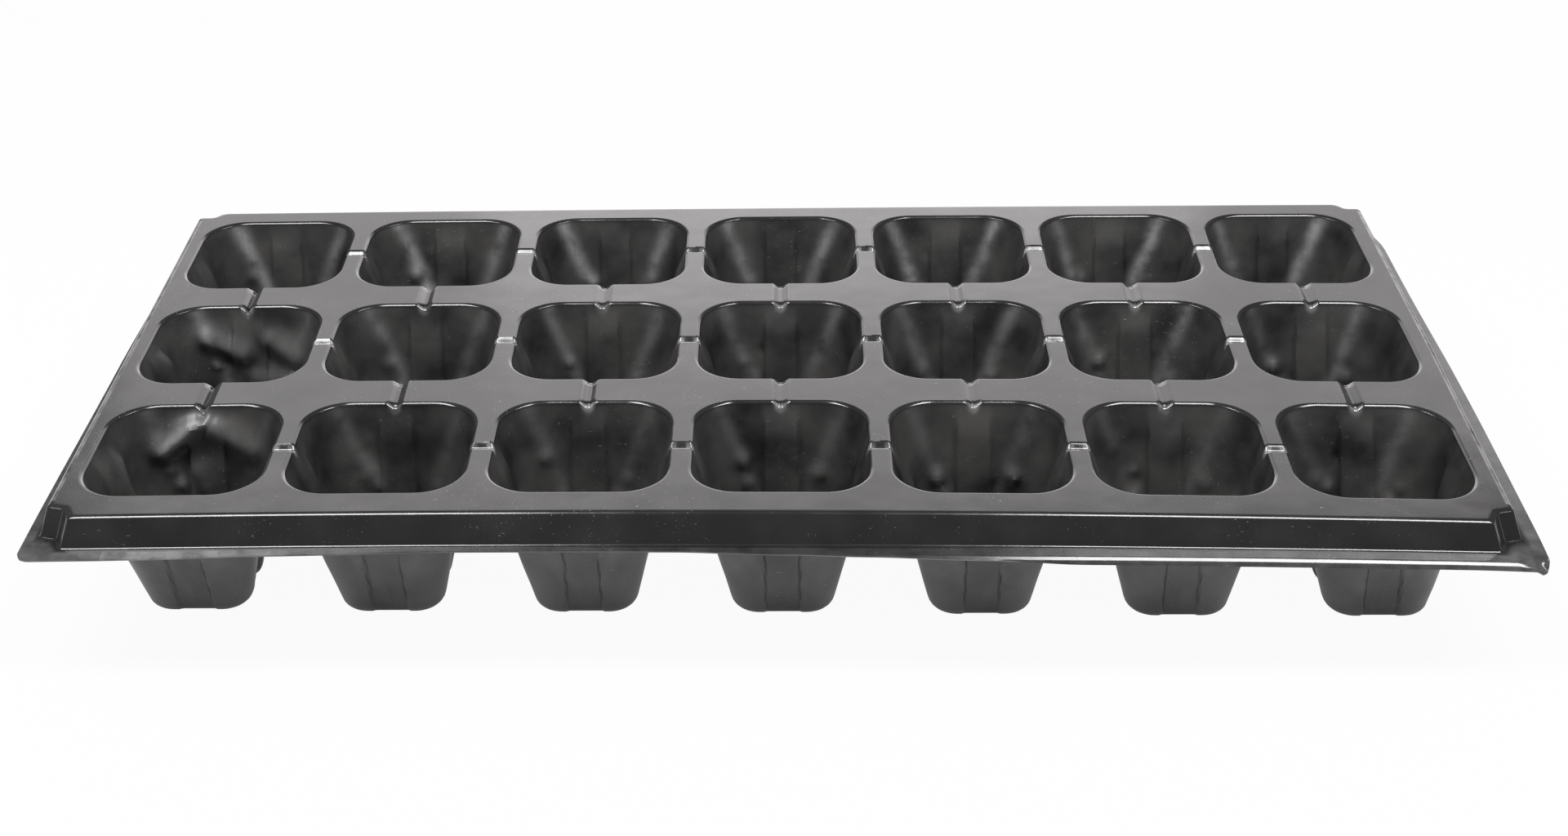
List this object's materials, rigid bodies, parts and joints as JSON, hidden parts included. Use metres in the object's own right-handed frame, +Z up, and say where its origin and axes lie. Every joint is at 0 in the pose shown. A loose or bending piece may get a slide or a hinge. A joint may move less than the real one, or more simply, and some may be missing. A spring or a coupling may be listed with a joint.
{
  "type": "seed tray",
  "caption": "Black vacuum-formed seed tray: a flat deck of tapered, ribbed cells with drain holes, link grooves between cells and a skirted rim with notched corners.",
  "frame": {"origin": "centre of the tray, on the surface that the cell bases stand on", "axes": "+X along the tray's length to the right, +Y across its width to the back, +Z up"},
  "size_m": [0.54, 0.28, 0.064],
  "materials": {
    "black_plastic": "semi-gloss formed sheet, lightly scuffed"
  },
  "bodies": {
    "root": {"cell_front_1": "black_plastic", "cell_front_2": "black_plastic", "cell_front_3": "black_plastic", "cell_front_4": "black_plastic", "cell_front_5": "black_plastic", "cell_front_6": "black_plastic", "cell_front_7": "black_plastic", "cell_middle_1": "black_plastic", "cell_middle_2": "black_plastic", "cell_middle_3": "black_plastic", "cell_middle_4": "black_plastic", "cell_middle_5": "black_plastic", "cell_middle_6": "black_plastic", "cell_middle_7": "black_plastic", "cell_back_1": "black_plastic", "cell_back_2": "black_plastic", "cell_back_3": "black_plastic", "cell_back_4": "black_plastic", "cell_back_5": "black_plastic", "cell_back_6": "black_plastic", "cell_back_7": "black_plastic", "front_rim": "black_plastic", "back_rim": "black_plastic", "left_rim": "black_plastic", "right_rim": "black_plastic", "corner_front_left": "black_plastic", "corner_front_right": "black_plastic", "corner_back_left": "black_plastic", "corner_back_right": "black_plastic"}
  },
  "joints": []
}
